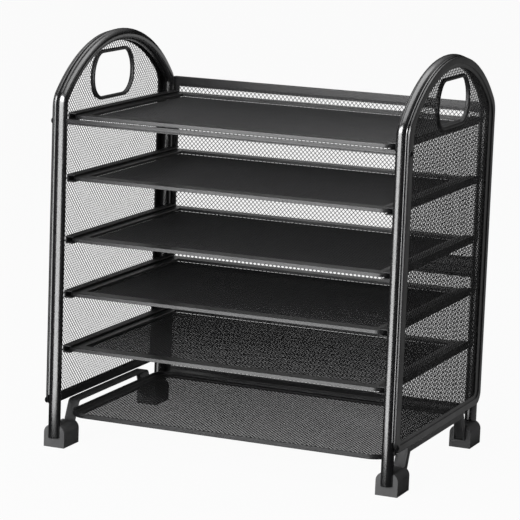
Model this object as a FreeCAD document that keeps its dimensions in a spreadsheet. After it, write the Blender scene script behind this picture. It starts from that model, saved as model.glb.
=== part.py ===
import FreeCAD, Part
import math
import os

# Paper tray organizer: two arched tube side frames with mesh panels, five trays that slide in
# channel rails, a fixed base tray on two bent straps, a mesh back in two halves and four moulded feet.
# Millimetres, +X to the right, +Y to the back, +Z up, origin on the floor under the middle.

# Driving dimensions, each written once
SIZES = {
    # Arched side tubes
    "post_spacing": 340.0,
    "post_depth": 234.4,
    "tube_diameter": 11.6,
    "tube_end": 9.8,
    "arch_rise": 64.5,
    "arch_radius": 182.0,
    "bend_radius": 20.0,
    # Small gap between pieces that are welded or bolted together
    "seat_gap": 0.1,
    # Side panels: a raised rim on the tubes, a recessed band and a window for the mesh
    "panel_thickness": 2.2,
    "panel_overlap": 3.5,
    "panel_lift": 0.2,
    "panel_corner": 12.0,
    "rim_width": 6.5,
    "rim_step": 1.1,
    "window_side": 15.0,
    "window_top": 10.0,
    "window_base": 10.0,
    "window_corner": 5.0,
    # Mesh sheets
    "mesh_thickness": 0.8,
    "mesh_lap": 3.0,
    "cell_long": 84.0,
    "cell_short": 40.0,
    "side_cell_long": 66.0,
    "side_cell_short": 36.0,
    "strand": 6.0,
    "side_strand": 4.0,
    "floor_strand": 4.0,
    "mesh_margin": 2.0,
    # Carrying hole in each side and the moulded grip that lines it
    "handle_drop": 17.0,
    "handle_height": 44.0,
    "handle_waist": 23.0,
    "handle_top_half": 24.0,
    "handle_waist_half": 43.0,
    "handle_bottom_half": 33.0,
    "grip_neck": 2.0,
    "grip_flange": 4.5,
    "grip_lip": 1.6,
    "grip_clearance": 0.15,
    # Channel rails, their upper faces counted up from the floor
    "lowest_rail": 100.7,
    "rise_4": 53.1,
    "rise_3": 52.4,
    "rise_2": 58.8,
    "rise_1": 58.5,
    "rail_height": 7.2,
    "rail_flange": 8.0,
    "rail_wall": 1.2,
    "rail_setback": 2.0,
    # Sliding trays
    "tray_lip": 3.6,
    "tray_wall": 1.2,
    "tray_border": 14.0,
    "tray_setback": 3.2,
    "tray_overrun": 2.8,
    "tray_front_corner": 12.0,
    "tray_rear_corner": 6.0,
    "side_play": 0.8,
    "run_clearance": 0.3,
    # Tie bar across the front posts, under the upper tray
    "tie_height": 4.8,
    "tie_depth": 4.0,
    "tie_wall": 1.0,
    "tie_clearance": 0.4,
    # Back panels behind the rear posts
    "back_overhang": 1.0,
    "back_rise": 12.9,
    "back_split_rise": 19.2,
    "back_bottom": 25.0,
    "back_band": 10.0,
    "back_corner": 6.0,
    "back_thickness": 2.6,
    # Bent base straps
    "strap_width": 11.5,
    "strap_thickness": 1.5,
    "strap_skirt": 7.0,
    "strap_top": 39.6,
    "strap_inset": 9.0,
    "strap_splay": 14.5,
    "strap_bend": 6.0,
    "strap_end": 8.0,
    # Fixed base tray
    "base_setback": 11.2,
    "base_lift": 29.0,
    "base_height": 4.7,
    "base_wall": 1.2,
    "base_border": 12.0,
    "base_corner": 20.0,
    # Moulded feet
    "foot_width": 21.6,
    "foot_wrap": 4.8,
    "foot_height": 22.0,
    "foot_shoulder": 8.0,
    "foot_front": 0.5,
    "foot_clearance": 0.2,
}

# Spaces between the rails, from the lowest rail upwards
RISES = ["rise_4", "rise_3", "rise_2", "rise_1"]
TRAYS = range(1, len(RISES) + 2)

doc = FreeCAD.newDocument("PaperTrayOrganizer")
sheet = doc.addObject("Spreadsheet::Sheet", "Spec")
for row, (alias, number) in enumerate(SIZES.items(), start=1):
    sheet.set(f"A{row}", alias)
    sheet.set(f"B{row}", str(number))
    sheet.setAlias(f"B{row}", alias)
doc.recompute()

parts = []


def size(alias):
    return float(sheet.get(alias))


def level_terms(number):
    return ["lowest_rail"] + RISES[:len(TRAYS) - number]


def level(number):
    """Height of the upper face of a rail, counted from the uppermost rail down."""
    return sum(size(term) for term in level_terms(number))


def level_expression(number):
    return " + ".join(f"Spec.{term}" for term in level_terms(number))


def vec(u, v, w=0.0):
    return FreeCAD.Vector(u, v, w)


def new_body(label):
    body = doc.addObject("PartDesign::Body", label)
    body.Label = label
    parts.append(body)
    return body


def new_sketch(body, role, name, offset=None):
    """A sketch on one of the body's own origin planes, lifted along its normal by an expression."""
    sketch = body.newObject("Sketcher::SketchObject", name)
    plane = next(item for item in body.Origin.OriginFeatures if item.Role == role)
    sketch.AttachmentSupport = [(plane, "")]
    sketch.MapMode = "FlatFace"
    if offset:
        sketch.setExpression("AttachmentOffset.Base.z", offset)
    return sketch


def draw(sketch, *outlines):
    for outline in outlines:
        for edge in outline:
            sketch.addGeometry(edge, False)


def pad(body, sketch, length, reverse=False, middle=False):
    feature = body.newObject("PartDesign::Pad", "Pad")
    feature.Profile = sketch
    feature.setExpression("Length", length)
    feature.Reversed = reverse
    feature.Midplane = middle
    return feature


def pocket(body, sketch, length=None, reverse=False):
    """Cut the sketch out, to a depth or right through, and check that material went."""
    before = body.Tip
    doc.recompute()
    volume = before.Shape.Volume
    feature = body.newObject("PartDesign::Pocket", "Pocket")
    feature.Profile = sketch
    feature.Reversed = reverse
    if length:
        feature.setExpression("Length", length)
    else:
        feature.Type = "ThroughAll"
    doc.recompute()
    if feature.Shape.Volume >= volume:
        raise RuntimeError(f"{body.Label}: a pocket removes nothing")
    return feature


def place(item, turn=0, x="0", y="0", z="0"):
    """Turn a piece about the vertical axis and bind its position to the sheet.

    The back panels stand out behind the posts, so every piece moves forward by half of that
    and the whole part stays centred over the origin.
    """
    item.Placement = FreeCAD.Placement(vec(0, 0), FreeCAD.Rotation(vec(0, 0, 1), turn))
    item.setExpression("Placement.Base.x", x)
    item.setExpression("Placement.Base.y", f"{y} - (Spec.seat_gap + Spec.back_thickness) / 2")
    item.setExpression("Placement.Base.z", z)


# Outlines

def polygon(points):
    return [Part.LineSegment(a, b) for a, b in zip(points, points[1:] + points[:1])]


def rounded_polygon(points, radii):
    """Closed outline with a tangent arc of its own radius at each corner, none where it is zero."""
    starts, ends, arcs = [], [], []
    for before, corner, after, radius in zip(points[-1:] + points[:-1], points,
                                             points[1:] + points[:1], radii):
        back = (before - corner).normalize()
        ahead = (after - corner).normalize()
        half_angle = back.getAngle(ahead) / 2
        reach = radius / math.tan(half_angle)
        starts.append(corner + back * reach)
        ends.append(corner + ahead * reach)
        if radius:
            middle = (back + ahead).normalize() * (radius / math.sin(half_angle) - radius)
            arcs.append(Part.Arc(starts[-1], corner + middle, ends[-1]))
    return arcs + [Part.LineSegment(a, b) for a, b in zip(ends, starts[1:] + starts[:1])]


def arc_about(centre, radius, start, end):
    """Arc of a circle between two angles in degrees, drawn through its middle."""
    at = [
        centre + vec(radius * math.cos(math.radians(angle)), radius * math.sin(math.radians(angle)))
        for angle in (start, (start + end) / 2, end)
    ]
    return Part.Arc(*at)


def rectangle(u0, v0, u1, v1):
    return polygon([vec(u0, v0), vec(u1, v0), vec(u1, v1), vec(u0, v1)])


def rounded_box(u0, v0, u1, v1, low_corner, high_corner):
    """Closed rectangle whose two lower and two upper corners have their own radii."""
    corners = [
        (vec(u0 + low_corner, v0 + low_corner), low_corner, 180),
        (vec(u1 - low_corner, v0 + low_corner), low_corner, 270),
        (vec(u1 - high_corner, v1 - high_corner), high_corner, 0),
        (vec(u0 + high_corner, v1 - high_corner), high_corner, 90),
    ]
    arcs = [arc_about(centre, radius, start, start + 90) for centre, radius, start in corners]
    sides = [Part.LineSegment(a.EndPoint, b.StartPoint) for a, b in zip(arcs, arcs[1:] + arcs[:1])]
    return arcs + sides


def arch(half, apex, radius, bend):
    """Right bend, crown and left bend of an arch that springs from two upright lines."""
    centre = vec(0, apex - radius)
    rise = math.sqrt((radius - bend) ** 2 - (half - bend) ** 2)
    angle = math.degrees(math.atan2(rise, half - bend))
    spring = centre.y + rise
    return [
        arc_about(vec(half - bend, spring), bend, 0, angle),
        arc_about(centre, radius, angle, 180 - angle),
        arc_about(vec(bend - half, spring), bend, 180 - angle, 180),
    ]


def arched_outline(half, apex, radius, bend, bottom, corner):
    """Closed panel outline: rounded lower corners, upright sides and an arched top."""
    top = arch(half, apex, radius, bend)
    right = arc_about(vec(half - corner, bottom + corner), corner, 270, 360)
    left = arc_about(vec(corner - half, bottom + corner), corner, 180, 270)
    return top + [
        right,
        left,
        Part.LineSegment(left.EndPoint, right.StartPoint),
        Part.LineSegment(right.EndPoint, top[0].StartPoint),
        Part.LineSegment(top[-1].EndPoint, left.StartPoint),
    ]


def handle_outline(grow):
    """Barrel-shaped carrying hole, flat above and below with bulging sides, grown all round."""
    sill = apex - size("handle_drop") - size("handle_height")
    top = vec(size("handle_top_half") + grow, apex - size("handle_drop") + grow)
    middle = vec(size("handle_waist_half") + grow, sill + size("handle_waist"))
    low = vec(size("handle_bottom_half") + grow, sill - grow)

    def mirrored(point):
        return vec(-point.x, point.y)

    return [
        Part.Arc(low, middle, top),
        Part.LineSegment(top, mirrored(top)),
        Part.Arc(mirrored(top), mirrored(middle), mirrored(low)),
        Part.LineSegment(mirrored(low), low),
    ]


def trimmed(points, u0, v0, u1, v1):
    """The points of a polygon after all that lies outside a rectangle is cut off."""
    for axis, limit, inward in ((0, u0, 1), (0, u1, -1), (1, v0, 1), (1, v1, -1)):
        kept = []
        for start, end in zip(points, points[1:] + points[:1]):
            depth = inward * (start[axis] - limit)
            next_depth = inward * (end[axis] - limit)
            if depth >= 0:
                kept.append(start)
            if depth * next_depth < 0:
                kept.append(start + (end - start) * (depth / (depth - next_depth)))
        points = kept
    return points


def area(points):
    return abs(sum(a.x * b.y - b.x * a.y for a, b in zip(points, points[1:] + points[:1]))) / 2


def diamonds(u0, v0, u1, v1, step_u, step_v, strand, keep=None, trim=False):
    """Staggered diamond openings of a mesh sheet: those that fit into a rectangle, or all trimmed to it."""
    half_u = (step_u - strand * step_u / step_v) / 2
    half_v = (step_v - strand) / 2
    margin = size("mesh_margin")
    middle_u = (u0 + u1) / 2
    middle_v = (v0 + v1) / 2
    columns = math.ceil((u1 - u0) / step_u) + 1
    rows = math.ceil((v1 - v0) / step_v) * 2 + 2
    smallest = half_u * half_v / 3
    found = []
    for row in range(-rows, rows + 1):
        for column in range(-columns, columns + 1):
            u = middle_u + (column + 0.5 * (row % 2)) * step_u
            v = middle_v + row * step_v / 2
            tips = [vec(u - half_u, v), vec(u, v - half_v), vec(u + half_u, v), vec(u, v + half_v)]
            if trim:
                tips = trimmed(tips, u0 + margin, v0 + margin, u1 - margin, v1 - margin)
                fits = area(tips) > smallest
            else:
                inside_u = u0 + margin + half_u <= u <= u1 - margin - half_u
                inside_v = v0 + margin + half_v <= v <= v1 - margin - half_v
                fits = inside_u and inside_v and (keep is None or keep(tips))
            if fits:
                found.append(polygon(tips))
    return found


# Side tubes: one bent tube each side, an inverted U with a quick bend and a long crown
half_depth = size("post_depth") / 2
tube_radius = size("tube_diameter") / 2
apex = level(1) + size("arch_rise")
crown = arch(half_depth, apex, size("arch_radius"), size("bend_radius"))


def make_side_tube(label, turn, x):
    body = new_body(label)
    path = new_sketch(body, "YZ_Plane", "TubePath")
    foot_left = vec(-half_depth, size("tube_end"))
    foot_right = vec(half_depth, size("tube_end"))
    draw(path, [Part.LineSegment(foot_right, crown[0].StartPoint)], crown,
         [Part.LineSegment(crown[-1].EndPoint, foot_left)])
    section = new_sketch(body, "XY_Plane", "TubeSection", "Spec.tube_end")
    draw(section, [Part.Circle(vec(0, half_depth), vec(0, 0, 1), tube_radius)])
    tube = body.newObject("PartDesign::AdditivePipe", "Tube")
    tube.Profile = section
    tube.Spine = path
    place(body, turn, x=x)


# Side panels: pressed sheet frames bolted to the outside of the tubes
panel_seat = "Spec.tube_diameter / 2 + Spec.seat_gap"
rim_half = half_depth + size("panel_overlap")
rim_apex = apex + size("panel_overlap")
rim_radius = size("arch_radius") + size("panel_overlap")
rim_bend = size("bend_radius") + size("panel_overlap")
panel_bottom = size("strap_top") + size("panel_lift")


def panel_outline(side, top, base, corner):
    """Panel outline drawn in from its edge by separate amounts at the sides, top and base."""
    return arched_outline(rim_half - side, rim_apex - top, rim_radius - top, rim_bend,
                          panel_bottom + base, corner)


def make_side_panel(label, turn, x):
    body = new_body(label)
    edge = new_sketch(body, "YZ_Plane", "PanelEdge", panel_seat)
    draw(edge, panel_outline(0, 0, 0, size("panel_corner")))
    pad(body, edge, "Spec.panel_thickness")
    band = new_sketch(body, "YZ_Plane", "RecessedBand", f"{panel_seat} + Spec.panel_thickness")
    rim = size("rim_width")
    draw(band, panel_outline(rim, rim, rim, size("panel_corner") - rim / 2))
    pocket(body, band, "Spec.rim_step")
    window = new_sketch(body, "YZ_Plane", "MeshWindow", panel_seat)
    draw(window, panel_outline(size("window_side"), size("window_top"), size("window_base"),
                               size("window_corner")))
    pocket(body, window, reverse=True)
    place(body, turn, x=x)


def make_side_mesh(label, turn, x):
    body = new_body(label)
    lap = size("mesh_lap")
    sheet_outline = panel_outline(size("window_side") - lap, size("window_top") - lap,
                                  size("window_base") - lap, size("window_corner") + lap)
    reach = size("grip_flange") + size("mesh_margin")
    limit = rim_radius - size("window_top") - size("mesh_margin")
    crown_centre = vec(0, rim_apex - rim_radius)

    def clear_of_grip(tips):
        under_crown = all(tip.distanceToPoint(crown_centre) < limit for tip in tips)
        below = max(tip.y for tip in tips) < apex - size("handle_drop") - size("handle_height") - reach
        beside = min(abs(tip.x) for tip in tips) > size("handle_waist_half") + reach
        return under_crown and (below or beside)

    holes = diamonds(size("window_side") - rim_half, panel_bottom + size("window_base"),
                     rim_half - size("window_side"), rim_apex - size("window_top"),
                     size("side_cell_long"), size("side_cell_short"), size("side_strand"), clear_of_grip)
    profile = new_sketch(body, "YZ_Plane", "MeshSheet", panel_seat)
    draw(profile, sheet_outline, handle_outline(size("grip_neck") + size("grip_clearance")), *holes)
    pad(body, profile, "Spec.mesh_thickness", reverse=True)
    place(body, turn, x=x)


def make_handle_grip(label, turn, x):
    """Grommet with a groove that holds the edge of the mesh: inner lip, neck and outer lip."""
    body = new_body(label)
    inner_face = f"{panel_seat} - Spec.mesh_thickness - Spec.grip_clearance"
    outer_face = f"{panel_seat} + Spec.grip_clearance"
    inner = new_sketch(body, "YZ_Plane", "InnerLip", inner_face)
    draw(inner, handle_outline(size("grip_flange")), handle_outline(0))
    pad(body, inner, "Spec.grip_lip", reverse=True)
    neck = new_sketch(body, "YZ_Plane", "Neck", inner_face)
    draw(neck, handle_outline(size("grip_neck")), handle_outline(0))
    pad(body, neck, "Spec.mesh_thickness + 2 * Spec.grip_clearance")
    outer = new_sketch(body, "YZ_Plane", "OuterLip", outer_face)
    draw(outer, handle_outline(size("grip_flange")), handle_outline(0))
    pad(body, outer, "Spec.grip_lip")
    place(body, turn, x=x)


# Rails: channels welded to the inner side of the posts, open towards the trays
def make_rail(label, number, turn, x):
    body = new_body(label)
    web = -tube_radius - size("seat_gap")
    lip = web - size("rail_flange")
    wall = size("rail_wall")
    low = -size("rail_height")
    profile = new_sketch(body, "XZ_Plane", "Channel")
    draw(profile, polygon([
        vec(lip, low), vec(web, low), vec(web, 0), vec(lip, 0),
        vec(lip, -wall), vec(web - wall, -wall), vec(web - wall, low + wall), vec(lip, low + wall),
    ]))
    pad(body, profile, "Spec.post_depth - 2 * Spec.rail_setback", middle=True)
    place(body, turn, x=x, z=level_expression(number))


for side, turn, sign in (("right", 0, ""), ("left", 180, "-")):
    side_x = f"{sign}Spec.post_spacing / 2"
    make_side_tube(f"side_tube_{side}", turn, side_x)
    make_side_panel(f"side_panel_{side}", turn, side_x)
    make_side_mesh(f"side_mesh_{side}", turn, side_x)
    make_handle_grip(f"handle_grip_{side}", turn, side_x)
    for number in TRAYS:
        make_rail(f"rail_{number}_{side}", number, turn, side_x)


# Trays: a folded border with a lip that runs in the rails, and a mesh floor under its inner lip
tray_half = (size("post_spacing") / 2 - tube_radius - size("seat_gap")
             - size("rail_wall") - size("side_play"))
tray_front = half_depth - size("tray_setback")
tray_rear = half_depth + size("tray_overrun")


def tray_outline(inset):
    """Tray edge drawn in by up to its wall, front corners larger than the rear ones."""
    return rounded_box(inset - tray_half, inset - tray_front,
                       tray_half - inset, tray_rear - inset,
                       size("tray_front_corner") - inset, size("tray_rear_corner") - inset)


def tray_opening(inset):
    """Mitred opening of the border, drawn in from the tray's edge."""
    return rectangle(inset - tray_half, inset - tray_front,
                     tray_half - inset, tray_rear - inset)


def tray_height(number):
    return f"{level_expression(number)} - Spec.rail_height + Spec.rail_wall + Spec.run_clearance"


def make_tray(number):
    height = tray_height(number)
    border = size("tray_border")
    wall = size("tray_wall")
    frame = new_body(f"tray_{number}_frame")
    lip = new_sketch(frame, "XY_Plane", "OuterLip")
    draw(lip, tray_outline(0), tray_outline(wall))
    pad(frame, lip, "Spec.tray_lip")
    top = new_sketch(frame, "XY_Plane", "Border", "Spec.tray_lip - Spec.tray_wall")
    draw(top, tray_outline(0), tray_opening(border))
    pad(frame, top, "Spec.tray_wall")
    inner = new_sketch(frame, "XY_Plane", "InnerLip", "Spec.mesh_thickness")
    draw(inner, tray_opening(border - wall), tray_opening(border))
    pad(frame, inner, "Spec.tray_lip - Spec.mesh_thickness")
    place(frame, z=height)

    mesh = new_body(f"tray_{number}_mesh")
    floor = new_sketch(mesh, "XY_Plane", "MeshFloor")
    holes = diamonds(border - tray_half, border - tray_front,
                     tray_half - border, tray_rear - border,
                     size("cell_long"), size("cell_short"), size("floor_strand"), trim=True)
    draw(floor, tray_opening(border - wall), *holes)
    pad(mesh, floor, "Spec.mesh_thickness")
    place(mesh, z=height)


for number in TRAYS:
    make_tray(number)


# Tie bar: a small channel between the front posts, open to the front, just under the upper tray
def make_tie_bar():
    body = new_body("front_tie_bar")
    high = size("tie_height") / 2
    deep = size("tie_depth") / 2
    wall = size("tie_wall")
    profile = new_sketch(body, "YZ_Plane", "Channel")
    draw(profile, polygon([
        vec(-deep, -high), vec(deep, -high), vec(deep, high), vec(-deep, high),
        vec(-deep, high - wall), vec(deep - wall, high - wall),
        vec(deep - wall, wall - high), vec(-deep, wall - high),
    ]))
    pad(body, profile, "Spec.post_spacing - Spec.tube_diameter - 2 * Spec.seat_gap", middle=True)
    place(body, y="Spec.rail_setback - Spec.post_depth / 2 - Spec.tie_depth / 2 - Spec.seat_gap",
          z=f"{tray_height(1)} - Spec.tie_clearance - Spec.tie_height / 2")


make_tie_bar()


# Back: two stacked frames with mesh, fixed behind the rear posts
def make_back(name, low, high):
    band = size("back_band")
    half = size("post_spacing") / 2 + size("back_overhang")
    corner = size("back_corner")
    lap = size("mesh_lap")
    seat = "Spec.post_depth / 2 + Spec.tube_diameter / 2 + Spec.seat_gap"

    def opening(inset):
        return rectangle(inset - half, low + inset, half - inset, high - inset)

    frame = new_body(f"back_frame_{name}")
    profile = new_sketch(frame, "XZ_Plane", "Frame")
    draw(profile, rounded_box(-half, low, half, high, corner, corner), opening(band))
    pad(frame, profile, "Spec.back_thickness", reverse=True)
    place(frame, y=seat)

    mesh = new_body(f"back_mesh_{name}")
    layer = new_sketch(mesh, "XZ_Plane", "MeshSheet")
    holes = diamonds(band - half, low + band, half - band, high - band,
                     size("cell_long"), size("cell_short"), size("strand"))
    draw(layer, opening(band - lap), *holes)
    pad(mesh, layer, "Spec.mesh_thickness")
    place(mesh, y=seat)


back_split = level(4) + size("back_split_rise")
make_back("upper", back_split + size("seat_gap"), level(1) + size("back_rise"))
make_back("lower", size("back_bottom"), back_split - size("seat_gap"))


# Base straps: bent strips with an outer skirt, standing in the feet with splayed legs
base_half_depth = half_depth - size("base_setback")
strap_half = base_half_depth - size("base_corner") - size("strap_inset")
strap_toe = strap_half + size("strap_splay")
strap_lean = math.atan2(size("strap_splay"), size("strap_top") - size("strap_end"))


def strap_outline(depth):
    """Closed n-shape of the strap seen from the side, of the given depth under its upper face."""
    high = size("strap_top")
    low = size("strap_end")
    inner_half = strap_half - depth * math.tan((math.pi / 2 - strap_lean) / 2)
    inner_toe = strap_toe - depth / math.cos(strap_lean)
    outer_bend = size("strap_bend")
    inner_bend = max(outer_bend - depth, size("strap_thickness"))
    return rounded_polygon([
        vec(-strap_toe, low), vec(-strap_half, high), vec(strap_half, high), vec(strap_toe, low),
        vec(inner_toe, low), vec(inner_half, high - depth),
        vec(-inner_half, high - depth), vec(-inner_toe, low),
    ], [0, outer_bend, outer_bend, 0, 0, inner_bend, inner_bend, 0])


def make_strap(label, turn, x):
    body = new_body(label)
    strip = new_sketch(body, "YZ_Plane", "Strip")
    draw(strip, strap_outline(size("strap_thickness")))
    pad(body, strip, "Spec.strap_width", middle=True)
    skirt = new_sketch(body, "YZ_Plane", "Skirt", "Spec.strap_width / 2")
    draw(skirt, strap_outline(size("strap_skirt")))
    pad(body, skirt, "Spec.strap_thickness", reverse=True)
    place(body, turn, x=x)


make_strap("base_strap_right", 0, "Spec.post_spacing / 2")
make_strap("base_strap_left", 180, "-Spec.post_spacing / 2")


# Base tray: an upright rim with rounded corners, a turned-in border and a mesh floor on it
base_half = size("post_spacing") / 2 - size("strap_width") / 2 - size("seat_gap")


def base_outline(inset):
    depth = base_half_depth
    corner = max(size("base_corner") - inset, size("base_wall"))
    return rounded_box(inset - base_half, inset - depth, base_half - inset, depth - inset, corner, corner)


def make_base_tray():
    wall = size("base_wall")
    border = size("base_border")
    frame = new_body("base_tray_frame")
    rim = new_sketch(frame, "XY_Plane", "Rim")
    draw(rim, base_outline(0), base_outline(wall))
    pad(frame, rim, "Spec.base_height")
    shelf = new_sketch(frame, "XY_Plane", "Border")
    draw(shelf, base_outline(0), base_outline(border))
    pad(frame, shelf, "Spec.base_wall")
    place(frame, z="Spec.base_lift")

    mesh = new_body("base_tray_mesh")
    floor = new_sketch(mesh, "XY_Plane", "MeshFloor", "Spec.base_wall")
    holes = diamonds(border - base_half, border - base_half_depth,
                     base_half - border, base_half_depth - border,
                     size("cell_long"), size("cell_short"), size("floor_strand"), trim=True)
    draw(floor, base_outline(border - size("mesh_lap")), *holes)
    pad(mesh, floor, "Spec.mesh_thickness")
    place(mesh, z="Spec.base_lift")


make_base_tray()


# Feet: moulded blocks with rounded shoulders, a socket for the post and a notch for the strap
TOE_GAP = "Spec.base_setback + Spec.base_corner + Spec.strap_inset - Spec.strap_splay"
notch_start = half_depth - strap_toe - size("foot_clearance")
foot_reach = half_depth - strap_toe + size("foot_wrap")


def make_foot(label, turn, x, y):
    body = new_body(label)
    half = size("foot_width") / 2
    profile = new_sketch(body, "XZ_Plane", "Block", "Spec.foot_front")
    shoulder = size("foot_shoulder")
    high = size("foot_height")
    right = arc_about(vec(half - shoulder, high - shoulder), shoulder, 0, 90)
    left = arc_about(vec(shoulder - half, high - shoulder), shoulder, 90, 180)
    draw(profile, [
        Part.LineSegment(vec(-half, 0), vec(half, 0)),
        Part.LineSegment(vec(half, 0), right.StartPoint),
        right,
        Part.LineSegment(right.EndPoint, left.StartPoint),
        left,
        Part.LineSegment(left.EndPoint, vec(-half, 0)),
    ])
    pad(body, profile, f"Spec.foot_front + {TOE_GAP} + Spec.foot_wrap", reverse=True)
    socket = new_sketch(body, "XY_Plane", "PostSocket", "Spec.tube_end - Spec.foot_clearance")
    draw(socket, [Part.Circle(vec(0, 0), vec(0, 0, 1), tube_radius + size("foot_clearance"))])
    pocket(body, socket, reverse=True)
    notch = new_sketch(body, "XY_Plane", "StrapNotch", "Spec.strap_end - Spec.foot_clearance")
    side = size("strap_width") / 2 + size("foot_clearance")
    draw(notch, rectangle(-side, notch_start, side, foot_reach + size("foot_clearance")))
    pocket(body, notch, reverse=True)
    place(body, turn, x=x, y=y)


for side, x in (("left", "-Spec.post_spacing / 2"), ("right", "Spec.post_spacing / 2")):
    make_foot(f"foot_front_{side}", 0, x, "-Spec.post_depth / 2")
    make_foot(f"foot_rear_{side}", 180, x, "Spec.post_depth / 2")


# Check every feature, then write one file for each piece
doc.recompute()
for item in doc.Objects:
    if "Invalid" in item.State or "Error" in item.State:
        raise RuntimeError(f"{item.Label} failed: {item.State}")
for item in parts:
    if item.Shape.isNull() or not item.Shape.isValid():
        raise RuntimeError(f"{item.Label} has no valid shape")

os.makedirs("parts", exist_ok=True)
for item in parts:
    item.Shape.exportStep(f"parts/{item.Label}.step")
    print(item.Label, len(item.Shape.Solids), round(item.Shape.Volume, 1))
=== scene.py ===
import math

import bmesh
import bpy
from mathutils import Matrix, Vector


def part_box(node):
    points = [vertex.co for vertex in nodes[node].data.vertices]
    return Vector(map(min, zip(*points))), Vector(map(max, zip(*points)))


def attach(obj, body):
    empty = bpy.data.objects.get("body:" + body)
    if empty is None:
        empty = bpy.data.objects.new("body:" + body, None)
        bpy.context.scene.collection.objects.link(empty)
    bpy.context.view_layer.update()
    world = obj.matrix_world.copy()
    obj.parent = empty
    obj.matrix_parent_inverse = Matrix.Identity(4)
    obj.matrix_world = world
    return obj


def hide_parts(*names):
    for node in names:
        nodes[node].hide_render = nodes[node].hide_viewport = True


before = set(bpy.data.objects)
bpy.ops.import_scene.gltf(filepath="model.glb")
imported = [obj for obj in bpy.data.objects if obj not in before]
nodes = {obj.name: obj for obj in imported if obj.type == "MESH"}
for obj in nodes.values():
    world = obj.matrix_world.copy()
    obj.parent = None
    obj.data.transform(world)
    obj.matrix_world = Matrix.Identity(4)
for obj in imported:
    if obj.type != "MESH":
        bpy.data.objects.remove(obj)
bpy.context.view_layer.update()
scene = bpy.context.scene
scene.view_settings.view_transform = "Standard"


# Side tubes
# Two steel tubes, each bent cold to an inverted U with two quick bends and a long crown.
# They carry everything else and are powder coated in a smooth, fairly glossy black.
coat_grain = bpy.data.node_groups.new("coat_grain", "ShaderNodeTree")
for socket, kind in (("Place", "NodeSocketVector"), ("Tone", "NodeSocketColor"),
                     ("Mottle", "NodeSocketFloat"), ("Gloss", "NodeSocketFloat"),
                     ("Peel", "NodeSocketFloat")):
    coat_grain.interface.new_socket(socket, in_out="INPUT", socket_type=kind)
for socket, kind in (("Color", "NodeSocketColor"), ("Roughness", "NodeSocketFloat"),
                     ("Height", "NodeSocketFloat")):
    coat_grain.interface.new_socket(socket, in_out="OUTPUT", socket_type=kind)


def add_node(tree, kind, links=(), **settings):
    """A node with its settings, its inputs joined to other nodes' outputs or set to values."""
    node = tree.nodes.new(kind)
    for name, value in settings.items():
        setattr(node, name, value)
    for name, value in dict(links).items():
        if isinstance(value, bpy.types.NodeSocket):
            tree.links.new(value, node.inputs[name])
        else:
            node.inputs[name].default_value = value
    return node


coat_in = add_node(coat_grain, "NodeGroupInput")
coat_peel = add_node(coat_grain, "ShaderNodeTexNoise", {
    "Vector": coat_in.outputs["Place"], "Scale": 900.0, "Detail": 2.0})
coat_cloud = add_node(coat_grain, "ShaderNodeTexNoise", {
    "Vector": coat_in.outputs["Place"], "Scale": 45.0, "Detail": 5.0, "Roughness": 0.6})
coat_shade = add_node(coat_grain, "ShaderNodeMapRange", {
    "Value": coat_cloud.outputs["Fac"], "From Min": 0.3, "From Max": 0.7, "To Min": 0.75, "To Max": 1.3})
coat_share = add_node(coat_grain, "ShaderNodeMix", {
    "Factor": coat_in.outputs["Mottle"], "A": 1.0, "B": coat_shade.outputs["Result"]}, data_type="FLOAT")
coat_color = add_node(coat_grain, "ShaderNodeVectorMath", {
    0: coat_in.outputs["Tone"]}, operation="SCALE")
coat_grain.links.new(coat_share.outputs["Result"], coat_color.inputs["Scale"])
coat_wipe = add_node(coat_grain, "ShaderNodeMapRange", {
    "Value": coat_cloud.outputs["Fac"], "From Min": 0.25, "From Max": 0.75, "To Min": -0.05, "To Max": 0.05})
coat_rough = add_node(coat_grain, "ShaderNodeMath", {
    0: coat_in.outputs["Gloss"], 1: coat_wipe.outputs["Result"]}, operation="ADD", use_clamp=True)
coat_height = add_node(coat_grain, "ShaderNodeMath", {
    0: coat_peel.outputs["Fac"], 1: coat_in.outputs["Peel"]}, operation="MULTIPLY")
add_node(coat_grain, "NodeGroupOutput", {
    "Color": coat_color.outputs["Vector"], "Roughness": coat_rough.outputs["Value"],
    "Height": coat_height.outputs["Value"]})


def coated(name, tone, gloss, mottle=0.6, peel=1.0, depth=0.00004, specular=0.5):
    """A painted or moulded surface: cloudy tone, uneven gloss and a fine orange-peel skin."""
    material = bpy.data.materials.new(name)
    material.use_nodes = True
    tree = material.node_tree
    tree.nodes.clear()
    place = add_node(tree, "ShaderNodeTexCoord")
    skin = add_node(tree, "ShaderNodeGroup", node_tree=coat_grain)
    tree.links.new(place.outputs["Object"], skin.inputs["Place"])
    skin.inputs["Tone"].default_value = (*tone, 1.0)
    skin.inputs["Mottle"].default_value = mottle
    skin.inputs["Gloss"].default_value = gloss
    skin.inputs["Peel"].default_value = peel
    bump = add_node(tree, "ShaderNodeBump", {
        "Height": skin.outputs["Height"], "Distance": depth, "Strength": 1.0})
    shader = add_node(tree, "ShaderNodeBsdfPrincipled", {
        "Base Color": skin.outputs["Color"], "Roughness": skin.outputs["Roughness"],
        "Normal": bump.outputs["Normal"], "Specular IOR Level": specular})
    add_node(tree, "ShaderNodeOutputMaterial", {"Surface": shader.outputs["BSDF"]})
    return material


def add_piece(name, shape, material, body, slot, *replaced):
    """Turn a finished bmesh into an object that rides on a body."""
    mesh = bpy.data.meshes.new(name)
    shape.to_mesh(mesh)
    shape.free()
    mesh.shade_smooth()
    mesh.set_sharp_from_angle(angle=math.radians(35))
    mesh.materials.append(material)
    piece = bpy.data.objects.new(name, mesh)
    scene.collection.objects.link(piece)
    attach(piece, body)
    if replaced:
        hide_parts(*replaced)
    return piece


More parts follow.
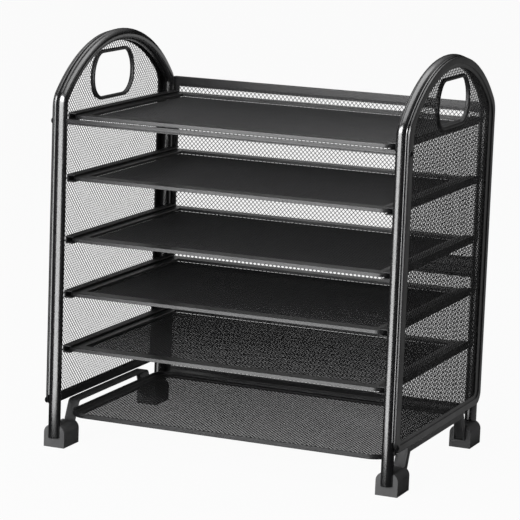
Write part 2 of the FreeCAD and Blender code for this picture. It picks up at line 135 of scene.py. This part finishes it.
tube_paint = coated("tube_paint", (0.010, 0.010, 0.011), 0.24, mottle=0.5, specular=1.0)
tube_low, tube_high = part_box("side_tube_right")
tube_radius = (tube_high.x - tube_low.x) / 2
middle_y = (tube_low.y + tube_high.y) / 2
half_depth = (tube_high.y - tube_low.y) / 2 - tube_radius
apex = tube_high.z - tube_radius
crown_radius = 0.156
bend_radius = 0.013
tube_sides = 32
bend_steps, crown_steps = 8, 28
bend_reach = half_depth - bend_radius
crown_rise = math.sqrt((crown_radius - bend_radius) ** 2 - bend_reach ** 2)
bend_angle = math.atan2(crown_rise, bend_reach)
spring_z = apex - crown_radius + crown_rise


def bent_tube(x, radius, segments, foot_z, offset=0.0):
    """Front post, bend, crown, bend and rear post, swept from one ring, or a run outside that line."""
    tube = bmesh.new()
    ring = bmesh.ops.create_circle(tube, radius=radius, segments=segments, matrix=Matrix.Translation(
        (x, middle_y - half_depth - offset, foot_z)))["verts"]
    edges = list({edge for vert in ring for edge in vert.link_edges})

    def lengthen(edges, rise):
        grown = bmesh.ops.extrude_edge_only(tube, edges=edges)["geom"]
        verts = [item for item in grown if isinstance(item, bmesh.types.BMVert)]
        bmesh.ops.translate(tube, verts=verts, vec=(0, 0, rise))
        return [edge for edge in grown if isinstance(edge, bmesh.types.BMEdge)
                and edge.verts[0] in verts and edge.verts[1] in verts]

    def turn(edges, y, z, angle, steps):
        verts = list({vert for edge in edges for vert in edge.verts})
        last = bmesh.ops.spin(tube, geom=verts + edges, cent=(x, y, z), axis=(-1, 0, 0),
                              angle=angle, steps=steps)["geom_last"]
        return [item for item in last if isinstance(item, bmesh.types.BMEdge)]

    edges = lengthen(edges, spring_z - foot_z)
    edges = turn(edges, middle_y - bend_reach, spring_z, bend_angle, bend_steps)
    edges = turn(edges, middle_y, apex - crown_radius, math.pi - 2 * bend_angle, crown_steps)
    edges = turn(edges, middle_y + bend_reach, spring_z, bend_angle, bend_steps)
    lengthen(edges, foot_z - spring_z)
    bmesh.ops.holes_fill(tube, edges=[edge for edge in tube.edges if edge.is_boundary])
    bmesh.ops.recalc_face_normals(tube, faces=tube.faces[:])
    return tube


for side, sign in (("right", 1), ("left", -1)):
    tube = bent_tube(sign * (tube_low.x + tube_radius), tube_radius, tube_sides, tube_low.z)
    add_piece(f"bent_tube_{side}", tube, tube_paint, "frame", "tube_coat", f"side_tube_{side}")


# Side panels
# Pressed sheet-steel frames bolted to the outside of the tubes, with a raised rim, a recessed
# band and an arched window for the mesh. The folded edges are slightly rounded by the press, and
# the outer edge rolls back in a thin lip that closes the joint with the tube.
steel_paint = coated("steel_paint", (0.012, 0.012, 0.013), 0.36)


def eased_copy(name, node, width, material, body, slot, settle=None):
    """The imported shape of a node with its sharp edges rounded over."""
    shape = bmesh.new()
    shape.from_mesh(nodes[node].data)
    bmesh.ops.remove_doubles(shape, verts=shape.verts[:], dist=1e-6)
    bmesh.ops.dissolve_limit(shape, angle_limit=math.radians(0.4), verts=shape.verts[:], edges=shape.edges[:])
    if settle:
        for vert in shape.verts:
            vert.co = settle(vert.co)
    piece = add_piece(name, shape, material, body, slot, node)
    edges = piece.modifiers.new("eased_edges", "BEVEL")
    edges.width = width
    edges.segments = 3
    edges.limit_method = "ANGLE"
    edges.angle_limit = math.radians(40)
    edges.harden_normals = True
    return piece


packed_crown = 0.182
packed_bend = 0.020
panel_bend = 0.0185
straight_top = 0.25


def arch_spring(crown, bend):
    """Reach of the bend's centre, height where the post ends, and half angle of the crown."""
    reach = half_depth - bend
    rise = math.sqrt((crown - bend) ** 2 - reach ** 2)
    return reach, apex - crown + rise, math.atan2(reach, rise)


packed_reach, packed_spring, packed_half = arch_spring(packed_crown, packed_bend)
panel_reach, panel_spring, panel_half = arch_spring(crown_radius, panel_bend)


def onto_tube(spot):
    """Follow the tube's lower shoulders at the same distance from its line."""
    u, v = abs(spot.y - middle_y), spot.z
    above = v - apex + packed_crown
    if v <= packed_spring:
        v += max(0.0, (v - straight_top) / (packed_spring - straight_top)) * (panel_spring - packed_spring)
    elif math.atan2(u, above) < packed_half:
        angle = math.atan2(u, above) * panel_half / packed_half
        radius = math.hypot(u, above) + crown_radius - packed_crown
        u, v = radius * math.sin(angle), apex - crown_radius + radius * math.cos(angle)
    else:
        quarter = math.pi / 2
        angle = math.atan2(v - packed_spring, u - packed_reach)
        angle = angle * (quarter - panel_half) / (quarter - packed_half)
        radius = math.hypot(u - packed_reach, v - packed_spring) + panel_bend - packed_bend
        u, v = panel_reach + radius * math.cos(angle), panel_spring + radius * math.sin(angle)
    return Vector((spot.x, middle_y + math.copysign(u, spot.y - middle_y), v))


pressed_edge = 0.0008
lip_radius = 0.0010
lip_offset = 0.0034
lip_sides = 12
lip_seat = 0.9
lip_foot = 0.012
for side, sign in (("right", 1), ("left", -1)):
    eased_copy(f"pressed_panel_{side}", f"side_panel_{side}", pressed_edge, steel_paint, "frame",
               "coated_steel", onto_tube)
    panel_low, panel_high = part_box(f"side_panel_{side}")
    seat_x = panel_low.x if sign > 0 else panel_high.x
    lip = bent_tube(seat_x - sign * lip_radius * lip_seat, lip_radius, lip_sides, panel_low.z + lip_foot,
                    lip_offset)
    add_piece(f"rolled_lip_{side}", lip, tube_paint, "frame", "coated_steel")


# Side mesh
# Sheets of expanded steel mesh behind the panel windows: a staggered net of small diamonds with
# flat strands that lean a little, slit and stretched from one sheet and dipped in black paint.
mesh_paint = coated("mesh_paint", (0.012, 0.012, 0.013), 0.5, mottle=0.4, peel=0.6, specular=0.35)
cell_width = 0.0044
cell_height = 0.0046
strand_width = 0.00052
strand_lean = {"right": 0.00016, "left": -0.00012}
floor_lean = 0.0002
sheet_thickness = 0.00032
least_cell = 0.15


def diamond_net(low, high, lean, hold=None):
    """Flat net of diamonds over a rectangle in X and Y, its cells drawn onto an outline by hold."""
    width, height = high[0] - low[0], high[1] - low[1]
    columns, rows = round(width / cell_width), round(height / cell_height)
    net = bmesh.new()
    bmesh.ops.create_grid(net, x_segments=columns, y_segments=rows, size=0.5, matrix=Matrix.Translation(
        ((low[0] + high[0]) / 2, (low[1] + high[1]) / 2, 0)) @ Matrix.Diagonal((width, height, 1, 1)))
    lines = net.edges[:]
    bmesh.ops.poke(net, faces=net.faces[:])
    bmesh.ops.dissolve_edges(net, edges=[edge for edge in lines if not edge.is_boundary])
    if hold:
        held = {}
        for vert in net.verts:
            spot = hold(vert.co)
            if (spot - vert.co).length > 1e-9:
                held[vert] = spot
        lost = [face for face in net.faces if all(vert in held for vert in face.verts)]
        bmesh.ops.delete(net, geom=lost, context="FACES")
        for vert, spot in held.items():
            if vert.is_valid:
                vert.co = spot
    open_cells = [face for face in net.faces
                  if len(face.verts) == 4 and face.calc_area() > least_cell * cell_width * cell_height]
    bmesh.ops.inset_individual(net, faces=open_cells, thickness=strand_width / 2, use_even_offset=True)
    for face in open_cells:
        for way, rise in enumerate(lean):
            spots = sorted(face.verts, key=lambda vert: vert.co[way])
            spots[0].co.z += rise
            spots[-1].co.z -= rise
    bmesh.ops.delete(net, geom=open_cells, context="FACES_ONLY")
    bmesh.ops.solidify(net, geom=net.faces[:], thickness=sheet_thickness)
    return net


handle_drop = 0.017
handle_height = 0.042
panel_low, panel_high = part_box("side_mesh_right")
side_arc_reach, side_arc_rise = 0.018537, 0.019962
handle_centre = (side_arc_reach, apex - handle_drop - handle_height + side_arc_rise)
handle_radius = 0.024651
lining = 0.0022
band_offset, band_width = 0.0035, 0.007
net_radius = crown_radius + band_offset - band_width
net_half = (panel_high.y - panel_low.y) / 2


def side_hold(spot):
    """Draw a point in under the crown, and out of the carrying hole's lining."""
    u, v = spot.x, spot.y
    radial = Vector((u, v - (apex - crown_radius)))
    if v > apex - crown_radius and radial.length > net_radius:
        radial = radial.normalized() * net_radius
        u, v = radial.x, radial.y + apex - crown_radius
    sill = apex - handle_drop - handle_height
    across = Vector((abs(u) - handle_centre[0], v - handle_centre[1]))
    if sill - lining < v < apex - handle_drop + lining and (
            abs(u) < handle_centre[0] or across.length < handle_radius + lining):
        gaps = [(v - (sill - lining), "sill"), (apex - handle_drop + lining - v, "head")]
        if abs(u) > handle_centre[0]:
            gaps.append((handle_radius + lining - across.length, "side"))
        gap, edge = min(gaps)
        if edge == "sill":
            v = sill - lining
        elif edge == "head":
            v = apex - handle_drop + lining
        else:
            across = across.normalized() * (handle_radius + lining)
            u, v = math.copysign(handle_centre[0] + across.x, u), handle_centre[1] + across.y
    return Vector((u, v, 0))


for side, sign in (("right", 1), ("left", -1)):
    net = diamond_net((-net_half, panel_low.z), (net_half, panel_high.z), (strand_lean[side], 0), side_hold)
    centre_x = sign * (panel_low.x + panel_high.x) / 2
    turn = Matrix(((0, 0, 1, centre_x), (1, 0, 0, middle_y), (0, 1, 0, 0), (0, 0, 0, 1)))
    bmesh.ops.transform(net, matrix=turn, verts=net.verts[:])
    bmesh.ops.recalc_face_normals(net, faces=net.faces[:])
    add_piece(f"expanded_mesh_{side}", net, mesh_paint, "frame", "mesh", f"side_mesh_{side}")


# Handle grips
# Moulded rings that line the carrying holes: a soft black plastic with a groove that snaps over
# the cut edge of the mesh, rounded all over so that it is kind to the fingers.
grip_plastic = coated("grip_plastic", (0.009, 0.009, 0.010), 0.48, peel=1.4)
ring_width = 0.0032
ring_depth = 0.0042
sill_half, bulge_half, head_half = 0.033, 0.0460, 0.030
bulge_rise = 0.0225
bulge_round, sill_round, head_round = 0.015, 0.013, 0.0085
rim_round = 0.0011


def grip_ring(x):
    """A six-cornered face with rounded corners, opened to a ring, given its depth and rounded over."""
    sill = apex - handle_drop - handle_height - ring_width
    head = apex - handle_drop + ring_width
    ring = bmesh.new()
    half_line = ((sill_half + ring_width, sill),
                 (bulge_half + ring_width, sill + ring_width + bulge_rise),
                 (head_half + ring_width, head))
    points = [ring.verts.new((u, v, 0)) for u, v in half_line]
    points += [ring.verts.new((-u, v, 0)) for u, v in reversed(half_line)]
    bmesh.ops.contextual_create(ring, geom=points)
    for pair, reach, steps in ((points[1::3], bulge_round, 10), (points[0::5], sill_round, 8),
                               (points[2:4], head_round, 6)):
        bmesh.ops.bevel(ring, geom=pair, offset=reach, offset_type="OFFSET", affect="VERTICES",
                        segments=steps, profile=0.5, material=-1)
    hole = ring.faces[:]
    bmesh.ops.inset_individual(ring, faces=hole, thickness=ring_width, use_even_offset=True)
    bmesh.ops.delete(ring, geom=hole, context="FACES_ONLY")
    bmesh.ops.solidify(ring, geom=ring.faces[:], thickness=ring_depth)
    bmesh.ops.recalc_face_normals(ring, faces=ring.faces[:])
    rims = [edge for edge in ring.edges if edge.calc_face_angle(0.0) > math.radians(60)]
    bmesh.ops.bevel(ring, geom=rims, offset=rim_round, offset_type="OFFSET", affect="EDGES", segments=3,
                    profile=0.5, material=-1)
    low = min(vert.co.z for vert in ring.verts)
    turn = Matrix(((0, 0, 1, x - low - ring_depth / 2), (1, 0, 0, middle_y), (0, 1, 0, 0), (0, 0, 0, 1)))
    bmesh.ops.transform(ring, matrix=turn, verts=ring.verts[:])
    return ring


for side in ("right", "left"):
    grip_low, grip_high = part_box(f"handle_grip_{side}")
    add_piece(f"grip_ring_{side}", grip_ring((grip_low.x + grip_high.x) / 2), grip_plastic, "frame",
              "grip_plastic", f"handle_grip_{side}")


# Rails
# Five channels on each side, rolled from thin sheet and welded between the front and rear posts.
# Their open sides face the trays, which run on the lower flanges.
channel_paint = coated("channel_paint", (0.010, 0.010, 0.011), 0.46, specular=0.3)
channel_edge = 0.0003
for side in ("right", "left"):
    for number in range(1, 6):
        eased_copy(f"channel_{number}_{side}", f"rail_{number}_{side}", channel_edge, channel_paint,
                   "frame", "coated_steel")


# Trays
# Five sliding trays: a border folded from sheet steel with rounded front corners, and a floor of
# the same expanded mesh spot-welded under its inner lip.
folded_edge = 0.0004
for number in range(1, 6):
    eased_copy(f"tray_border_{number}", f"tray_{number}_frame", folded_edge, steel_paint,
               f"tray_{number}", "coated_steel")
    floor_low, floor_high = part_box(f"tray_{number}_mesh")
    net = diamond_net(floor_low, floor_high, (0, floor_lean))
    bmesh.ops.translate(net, verts=net.verts[:], vec=(0, 0, (floor_low.z + floor_high.z) / 2))
    bmesh.ops.recalc_face_normals(net, faces=net.faces[:])
    add_piece(f"tray_floor_{number}", net, mesh_paint, f"tray_{number}", "mesh", f"tray_{number}_mesh")


# Tie bar
# A small channel across the front, just under the upper tray, welded between the two front posts
# to hold the sides apart.
eased_copy("tie_channel", "front_tie_bar", channel_edge, steel_paint, "frame", "coated_steel")


# Back
# Two flat frames of sheet steel, one above the other, screwed behind the rear posts, each with
# its own sheet of expanded mesh.
back_lean = 0.00012
for half in ("upper", "lower"):
    eased_copy(f"back_border_{half}", f"back_frame_{half}", folded_edge, steel_paint, "frame", "coated_steel")
    back_low, back_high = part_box(f"back_mesh_{half}")
    net = diamond_net((back_low.x, back_low.z), (back_high.x, back_high.z), (back_lean, 0))
    bmesh.ops.transform(net, verts=net.verts[:], matrix=Matrix.Translation(
        (0, (back_low.y + back_high.y) / 2, 0)) @ Matrix.Rotation(math.pi / 2, 4, "X"))
    bmesh.ops.recalc_face_normals(net, faces=net.faces[:])
    add_piece(f"back_net_{half}", net, mesh_paint, "frame", "mesh", f"back_mesh_{half}")


# Base straps
# Two strips of thicker steel bent to low bridges, with a stiffening skirt along the outer edge and
# splayed legs that stand in the feet.
# Their coat is a mid grey, far lighter than the black of the other steel: a painted sheen that stands in for
# the white floor's reflection in the black paint.
strap_painted_sheen = coated("strap_painted_sheen", (0.095, 0.095, 0.097), 0.5, specular=0.25)
for side in ("right", "left"):
    eased_copy(f"bridge_strap_{side}", f"base_strap_{side}", folded_edge, strap_painted_sheen, "frame",
               "coated_steel")


# Base tray
# A fixed tray at the bottom: an upright rim with large rounded corners and a turned-in border, and
# a mesh floor lying on it.
eased_copy("base_rim", "base_tray_frame", folded_edge, steel_paint, "frame", "coated_steel")
base_low, base_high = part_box("base_tray_mesh")
base_corner = 0.011


def base_hold(spot):
    """Draw the net's corners in to the rounded corners of the border."""
    half_x, half_y = (base_high.x - base_low.x) / 2, (base_high.y - base_low.y) / 2
    past = Vector((abs(spot.x) - half_x + base_corner, abs(spot.y - middle_y) - half_y + base_corner))
    if min(past) > 0 and past.length > base_corner:
        past = past.normalized() * base_corner
        return Vector((math.copysign(half_x - base_corner + past.x, spot.x),
                       middle_y + math.copysign(half_y - base_corner + past.y, spot.y - middle_y), 0))
    return spot.copy()


net = diamond_net(base_low, base_high, (0, floor_lean), base_hold)
bmesh.ops.translate(net, verts=net.verts[:], vec=(0, 0, (base_low.z + base_high.z) / 2))
bmesh.ops.recalc_face_normals(net, faces=net.faces[:])
add_piece("base_floor", net, mesh_paint, "frame", "mesh", "base_tray_mesh")


# Feet
# Four moulded blocks of hard grey-black plastic with rounded shoulders. The post stands in a cup
# that is open to the front, and the leg of the strap in a notch behind it.
foot_plastic = coated("foot_plastic", (0.120, 0.120, 0.122), 0.6, peel=1.6, specular=0.3)
moulded_edge = 0.0009
for end in ("front", "rear"):
    for side in ("left", "right"):
        eased_copy(f"foot_block_{end}_{side}", f"foot_{end}_{side}", moulded_edge, foot_plastic,
                   "frame", "foot_plastic")


# Bolts
# Dome-headed bolts that hold the panels to the front posts, near the top and the bottom, with a
# hexagon socket in the head.
bolt_paint = coated("bolt_paint", (0.010, 0.010, 0.011), 0.30)
bolt_radius = 0.0032
bolt_height = 0.0021
socket_radius = 0.0014
socket_rim = 0.0002
socket_depth = 0.0012
dome_angle = math.radians(62)
bolt_levels = {"upper": 0.315, "lower": 0.046}


def dome_bolt(spot, turn):
    """A dome drawn up from a disc in rings, with a six-sided socket sunk into its top."""
    bolt = bmesh.new()
    bmesh.ops.create_circle(bolt, cap_ends=True, radius=bolt_radius, segments=24)
    top = bolt.faces[:]
    steps = 5
    for step in range(1, steps + 1):
        angle = dome_angle * step / steps
        radius = bolt_radius * math.cos(angle)
        height = bolt_height * math.sin(angle) / math.sin(dome_angle)
        top = bmesh.ops.extrude_discrete_faces(bolt, faces=top)["faces"]
        for vert in top[0].verts:
            flat = vert.co.xy.normalized() * radius
            vert.co = (flat.x, flat.y, height)
    bmesh.ops.inset_individual(bolt, faces=top, thickness=socket_rim)
    for vert in top[0].verts:
        angle = math.atan2(vert.co.y, vert.co.x) % (math.pi / 3) - math.pi / 6
        flat = vert.co.xy.normalized() * socket_radius / math.cos(angle) * math.cos(math.pi / 6)
        vert.co = (flat.x, flat.y, vert.co.z)
    top = bmesh.ops.extrude_discrete_faces(bolt, faces=top)["faces"]
    bmesh.ops.translate(bolt, verts=list(top[0].verts), vec=(0, 0, -socket_depth))
    bmesh.ops.transform(bolt, verts=bolt.verts[:], matrix=Matrix.Translation(spot) @ turn)
    bmesh.ops.recalc_face_normals(bolt, faces=bolt.faces[:])
    return bolt


for side, sign in (("right", 1), ("left", -1)):
    low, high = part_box(f"side_panel_{side}")
    face_x = high.x if sign > 0 else low.x
    outward = Matrix.Rotation(sign * math.pi / 2, 4, "Y")
    for level, z in bolt_levels.items():
        bolt = dome_bolt((face_x, middle_y - half_depth, z), outward)
        add_piece(f"panel_bolt_{level}_{side}", bolt, bolt_paint, "frame", "coated_steel")


# Floor and light
# A wide pale floor, a white surround, a broad softbox in front and a large one overhead. Cards and
# dark flags, which only reflections show, draw the light strips along the tubes and edges, and a
# louvre keeps the bright front cards out of level faces that are seen from behind.
floor_reach = 30.0
floor_white = 0.955
floor = bmesh.new()
bmesh.ops.create_grid(floor, x_segments=1, y_segments=1, size=floor_reach)
floor_mesh = bpy.data.meshes.new("studio_floor")
floor.to_mesh(floor_mesh)
floor.free()
floor_paint = bpy.data.materials.new("floor_paint")
floor_paint.use_nodes = True
tree = floor_paint.node_tree
tree.nodes.clear()
ray = add_node(tree, "ShaderNodeLightPath")
seen = add_node(tree, "ShaderNodeMath", {0: ray.outputs["Is Camera Ray"], 1: ray.outputs["Is Glossy Ray"]},
                operation="MAXIMUM")
seen = add_node(tree, "ShaderNodeMath", {0: seen.outputs[0], 1: ray.outputs["Is Transmission Ray"]},
                operation="MAXIMUM")
share = add_node(tree, "ShaderNodeMath", {0: seen.outputs[0], 1: floor_white}, operation="MULTIPLY")
matt = add_node(tree, "ShaderNodeBsdfDiffuse", {"Color": (0.9, 0.9, 0.9, 1.0)})
white = add_node(tree, "ShaderNodeEmission", {"Color": (1.0, 1.0, 1.0, 1.0), "Strength": 1.0})
blend = add_node(tree, "ShaderNodeMixShader", {
    0: share.outputs[0], 1: matt.outputs[0], 2: white.outputs[0]})
add_node(tree, "ShaderNodeOutputMaterial", {"Surface": blend.outputs[0]})
floor_mesh.materials.append(floor_paint)
studio_floor = bpy.data.objects.new("studio_floor", floor_mesh)
scene.collection.objects.link(studio_floor)

surround = bpy.data.worlds.new("white_surround")
surround.use_nodes = True
scene.world = surround
tree = surround.node_tree
tree.nodes.clear()
ray = add_node(tree, "ShaderNodeLightPath")
seen = add_node(tree, "ShaderNodeMath", {0: ray.outputs["Is Camera Ray"], 1: ray.outputs["Is Glossy Ray"]},
                operation="MAXIMUM")
seen = add_node(tree, "ShaderNodeMath", {0: seen.outputs[0], 1: ray.outputs["Is Transmission Ray"]},
                operation="MAXIMUM")
level = add_node(tree, "ShaderNodeMapRange", {"Value": seen.outputs[0], "To Min": 0.08, "To Max": 1.0})
sky = add_node(tree, "ShaderNodeBackground", {
    "Color": (1.0, 1.0, 1.0, 1.0), "Strength": level.outputs["Result"]})
add_node(tree, "ShaderNodeOutputWorld", {"Surface": sky.outputs[0]})


def softbox(name, spot, aim, width, height, radiance):
    """A rectangular lamp that faces a point."""
    lamp = bpy.data.lights.new(name, "AREA")
    lamp.shape = "RECTANGLE"
    lamp.size = width
    lamp.size_y = height
    lamp.energy = radiance * math.pi * width * height
    box = bpy.data.objects.new(name, lamp)
    box.location = spot
    box.rotation_euler = (Vector(aim) - Vector(spot)).to_track_quat("-Z", "Y").to_euler()
    box.visible_camera = False
    box.visible_glossy = False
    scene.collection.objects.link(box)


softbox("front_softbox", (-0.45, -2.85, 0.78), (0.0, 0.0, 0.12), 1.8, 1.38, 7.5)
softbox("top_softbox", (-0.3, -0.2, 1.5), (0.0, 0.0, 0.2), 1.2, 1.0, 0.8)


def gloss_cards(name, level, *outlines):
    """Flat cards with the given brightness. Only reflections in the paint show them."""
    card = bmesh.new()
    for corners in outlines:
        bmesh.ops.contextual_create(card, geom=[card.verts.new(corner) for corner in corners])
    sheet = bpy.data.meshes.new(name)
    card.to_mesh(sheet)
    card.free()
    paint = bpy.data.materials.new(name)
    paint.use_nodes = True
    tree = paint.node_tree
    tree.nodes.clear()
    glow = add_node(tree, "ShaderNodeEmission", {"Color": (1.0, 1.0, 1.0, 1.0), "Strength": level})
    add_node(tree, "ShaderNodeOutputMaterial", {"Surface": glow.outputs[0]})
    sheet.materials.append(paint)
    stand = bpy.data.objects.new(name, sheet)
    stand.visible_camera = False
    stand.visible_diffuse = False
    stand.visible_transmission = False
    stand.visible_shadow = False
    scene.collection.objects.link(stand)


def upright_card(name, level, left, right, height):
    """A card that stands on the floor between two points."""
    gloss_cards(name, level, ((*left, 0.0), (*right, 0.0), (*right, height), (*left, height)))


front_left, front_right, front_y = -0.243, 0.163, -0.36
front_top, bend_top = 0.42, 0.62
upright_card("front_card", 8.0, (front_left, front_y), (front_right, front_y), front_top)
gloss_cards("bend_card", 20.0, ((front_left, front_y, front_top), (front_right, front_y, front_top),
                                (front_right, front_y, bend_top), (front_left, front_y, bend_top)))
slat_gap = 0.02
slat_depth = 0.045
slat_tilt, slat_tilt_per_metre = 14.5, 24.0
bend_height = spring_z + 0.004
tilt_top = bend_height - 0.03
slats = []
for step in range(1, round(bend_top / slat_gap)):
    height = step * slat_gap
    if height < tilt_top:
        tip = height + slat_depth * math.tan(math.radians(slat_tilt - slat_tilt_per_metre * height))
    else:
        tip = height + (bend_height - height) * slat_depth / (middle_y - half_depth - front_y)
    tip_y = front_y + slat_depth
    slats.append(((front_left, front_y, height), (front_right, front_y, height),
                  (front_right, tip_y, tip), (front_left, tip_y, tip)))
gloss_cards("front_louvre", 0.01, *slats)
upright_card("left_front_flag", 0.02, (-0.36, -0.16), (-0.243, -0.36), 0.6)
upright_card("left_flag", 0.02, (-0.36, 0.30), (-0.36, -0.16), 0.6)
upright_card("right_front_flag", 0.01, (0.163, -0.36), (0.36, -0.10), 0.6)
upright_card("right_flag", 0.02, (0.36, -0.10), (0.36, 0.20), 0.6)
upright_card("right_rear_card", 0.3, (0.36, 0.20), (0.16, 0.28), 0.37)
upright_card("rear_card", 0.7, (0.16, 0.28), (-0.10, 0.28), 0.37)
upright_card("left_rear_card", 0.6, (-0.10, 0.28), (-0.36, 0.30), 0.37)
upright_card("right_under_card", 3.5, (0.06, 0.02), (0.172, 0.02), 0.030)
upright_card("left_under_card", 3.5, (-0.27, 0.02), (-0.158, 0.02), 0.030)
rear_corners = ((0.36, 0.20), (0.16, 0.285), (-0.10, 0.285), (-0.36, 0.305))
rear_rows = ((0.02, 0.37, 0.50), (0.2, 0.50, 0.60), (0.8, 0.60, 0.75))
for row, (level, low, high) in enumerate(rear_rows):
    for number, (left, right) in enumerate(zip(rear_corners, rear_corners[1:])):
        gloss_cards(f"rear_wall_{row}_{number}", level,
                    ((*left, low), (*right, low), (*right, high), (*left, high)))


def lying_card(name, level, low, high, z):
    """A card that lies level at a height."""
    gloss_cards(name, level, ((*low, z), (high[0], low[1], z), (*high, z), (low[0], high[1], z)))


lying_card("floor_flag", 0.02, (-0.36, -0.36), (0.36, 0.30), 0.0004)
lying_card("front_floor_card", 6.5, (-0.243, -0.36), (0.163, -0.25), 0.0006)
lying_card("right_floor_card", 0.38, (0.19, 0.02), (0.60, 0.70), 0.0006)
lying_card("overhead_left_card", 2.4, (-0.44, -0.22), (-0.26, 0.30), 0.748)
lying_card("overhead_right_card", 3.4, (-0.10, -0.22), (0.25, 0.30), 0.748)
lying_card("overhead_flag", 0.15, (-0.6, -0.5), (0.6, 0.5), 0.75)


# Camera
# A long lens from the right front, a little above the object, as the photograph was taken.
frame_pixels = 520
focal_pixels = 2634.0
shift_pixels = (-12.60, -18.05)
view_turn = math.radians(22.63)
view_lift = math.radians(10.04)
view_roll = math.radians(2.16)
view_distance = 2.5311
aim = Vector((0.0, middle_y, 0.2))
away = Vector((math.sin(view_turn) * math.cos(view_lift), -math.cos(view_turn) * math.cos(view_lift),
               math.sin(view_lift)))
level_right = Vector((math.cos(view_turn), math.sin(view_turn), 0.0))
level_up = away.cross(level_right)
right = level_right * math.cos(view_roll) + level_up * math.sin(view_roll)
up = away.cross(right)
lens = bpy.data.cameras.new("camera")
lens.sensor_width = 36.0
lens.sensor_fit = "HORIZONTAL"
lens.lens = lens.sensor_width * focal_pixels / frame_pixels
lens.shift_x = shift_pixels[0] / frame_pixels
lens.shift_y = shift_pixels[1] / frame_pixels
lens.clip_start = 0.05
lens.clip_end = 50.0
camera = bpy.data.objects.new("camera", lens)
camera.matrix_world = Matrix((
    (right.x, up.x, away.x, aim.x + away.x * view_distance),
    (right.y, up.y, away.y, aim.y + away.y * view_distance),
    (right.z, up.z, away.z, aim.z + away.z * view_distance),
    (0, 0, 0, 1)))
scene.collection.objects.link(camera)
scene.camera = camera

bpy.context.view_layer.update()
